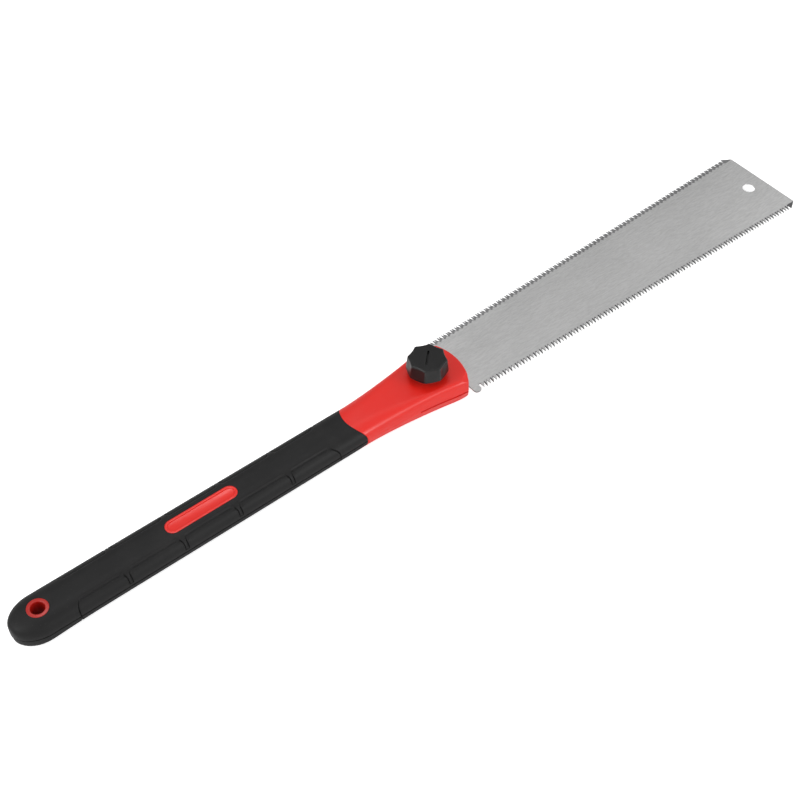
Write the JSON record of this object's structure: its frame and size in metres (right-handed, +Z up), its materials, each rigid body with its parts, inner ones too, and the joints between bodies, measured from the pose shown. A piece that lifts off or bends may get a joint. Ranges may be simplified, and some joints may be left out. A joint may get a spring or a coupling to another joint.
{
  "type": "japanese pull saw",
  "caption": "Double-edged Japanese pull saw with a changeable steel blade, a red and black two-component handle and a clamp knob.",
  "frame": {"origin": "middle of the saw's length and width, on the surface that it lies on, with the handle's bottom land at z = 0", "axes": "+X along the saw from the butt to the toe of the blade, +Y towards the crosscut teeth, +Z up, towards the knob"},
  "size_m": [0.55, 0.0612, 0.0289],
  "materials": {
    "red_plastic": "satin moulded",
    "black_rubber": "matte moulded",
    "blade_steel": "ground",
    "black_plastic": "fine grain",
    "fastener_steel": "plated"
  },
  "bodies": {
    "handle": {"handle_core": "red_plastic", "rubber_grip": "black_rubber", "clamp_nut": "fastener_steel"},
    "blade": {"saw_blade": "blade_steel"},
    "washer": {"clamp_washer": "fastener_steel"},
    "knob": {"clamp_knob": "black_plastic", "clamp_screw": "fastener_steel"}
  },
  "joints": [
    {"name": "blade_slide", "type": "slide", "parent": "handle", "child": "blade", "axis": [1, 0, 0], "range_m": [0, 0.045]},
    {"name": "clamp_lift", "type": "slide", "parent": "handle", "child": "washer", "axis": [0, 0, 1], "range_m": [0, 0.0016]},
    {"name": "knob_turn", "type": "hinge", "parent": "washer", "child": "knob", "pos_m": [-0.0086, 0, 0.0192], "axis": [0, 0, 1], "range_deg": [0, 720]}
  ],
  "couplings": [
    {"joint": "knob_turn", "follows": "clamp_lift", "rad_per_m": 7854}
  ]
}
